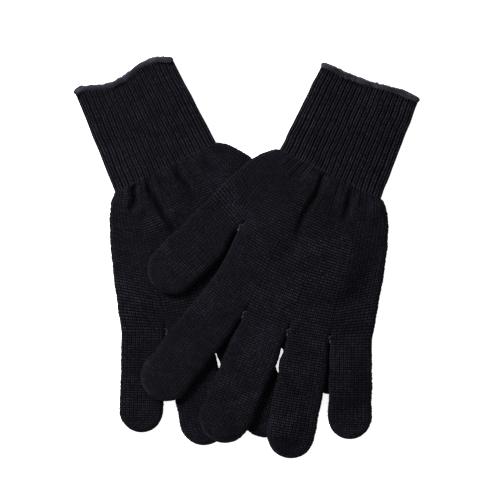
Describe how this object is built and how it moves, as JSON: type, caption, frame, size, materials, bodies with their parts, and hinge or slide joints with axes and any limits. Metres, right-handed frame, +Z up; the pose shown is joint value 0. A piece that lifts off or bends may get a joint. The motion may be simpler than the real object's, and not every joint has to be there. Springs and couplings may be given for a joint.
{
  "type": "touchscreen gloves",
  "caption": "Pair of knitted touchscreen gloves lying flat, the left glove across the right, with plain fingers, ribbed wrist cuffs and overlocked cuff edges.",
  "frame": {"origin": "on the surface the pair lies on, in the middle of the pair's outline", "axes": "+Z up out of that surface, +Y from the fingertips towards the cuffs, +X to the wearer's right as the gloves lie with their backs up"},
  "size_m": [0.2142, 0.2491, 0.0158],
  "materials": {
    "jersey_knit": "plain jersey knit, very dark navy black",
    "rib_knit": "one by one rib knit, very dark navy black",
    "touch_knit": "jersey knit with conductive yarn, same dark colour",
    "edging_yarn": "bulked overlock thread, dark navy",
    "elastic_yarn": "covered elastic yarn, black",
    "stitch_yarn": "black sewing yarn"
  },
  "bodies": {
    "right_hand": {"right_hand": "jersey_knit", "right_crotch_stitches": "stitch_yarn", "right_thumb": "jersey_knit", "right_thumb_touch_tip": "touch_knit", "right_index_finger": "jersey_knit", "right_index_touch_tip": "touch_knit", "right_middle_finger": "jersey_knit", "right_ring_finger": "jersey_knit", "right_little_finger": "jersey_knit"},
    "right_cuff": {"right_cuff": "rib_knit", "right_cuff_edging": "edging_yarn", "right_cuff_elastic": "elastic_yarn"},
    "left_hand": {"left_hand": "jersey_knit", "left_crotch_stitches": "stitch_yarn"},
    "left_thumb": {"left_thumb": "jersey_knit", "left_thumb_touch_tip": "touch_knit"},
    "left_index_finger": {"left_index_finger": "jersey_knit", "left_index_touch_tip": "touch_knit"},
    "left_middle_finger": {"left_middle_finger": "jersey_knit"},
    "left_ring_finger": {"left_ring_finger": "jersey_knit"},
    "left_little_finger": {"left_little_finger": "jersey_knit"},
    "left_cuff": {"left_cuff": "rib_knit", "left_cuff_edging": "edging_yarn", "left_cuff_elastic": "elastic_yarn"}
  },
  "joints": [
    {"name": "left_glove_lift", "type": "slide", "parent": "right_hand", "child": "left_hand", "axis": [0, 0, 1], "range_m": [0, 0.15]},
    {"name": "left_thumb_bend", "type": "hinge", "parent": "left_hand", "child": "left_thumb", "pos_m": [-0.01406, 0.02774, 0.0154], "axis": [-0.7033, 0.7109, 0], "range_deg": [0, 60]},
    {"name": "left_index_finger_bend", "type": "hinge", "parent": "left_hand", "child": "left_index_finger", "pos_m": [-0.01378, -0.02664, 0.0154], "axis": [-0.7916, 0.6111, 0], "range_deg": [0, 90]},
    {"name": "left_middle_finger_bend", "type": "hinge", "parent": "left_hand", "child": "left_middle_finger", "pos_m": [0.01133, -0.04108, 0.0154], "axis": [-0.9252, 0.3796, 0], "range_deg": [0, 60]},
    {"name": "left_ring_finger_bend", "type": "hinge", "parent": "left_hand", "child": "left_ring_finger", "pos_m": [0.0382, -0.04885, 0.0154], "axis": [-0.9869, 0.1614, 0], "range_deg": [0, 90]},
    {"name": "left_little_finger_bend", "type": "hinge", "parent": "left_hand", "child": "left_little_finger", "pos_m": [0.06459, -0.051, 0.01278], "axis": [-0.9348, 0, 0.3553], "range_deg": [0, 90]},
    {"name": "left_wrist_fold", "type": "hinge", "parent": "left_hand", "child": "left_cuff", "pos_m": [0.05192, 0.05247, 0.008], "axis": [0.8988, -0.4384, 0], "range_deg": [0, 90]},
    {"name": "right_wrist_fold", "type": "hinge", "parent": "right_hand", "child": "right_cuff", "pos_m": [-0.05072, 0.05667, 0.008], "axis": [0.8988, 0.4384, 0], "range_deg": [0, 90]}
  ]
}
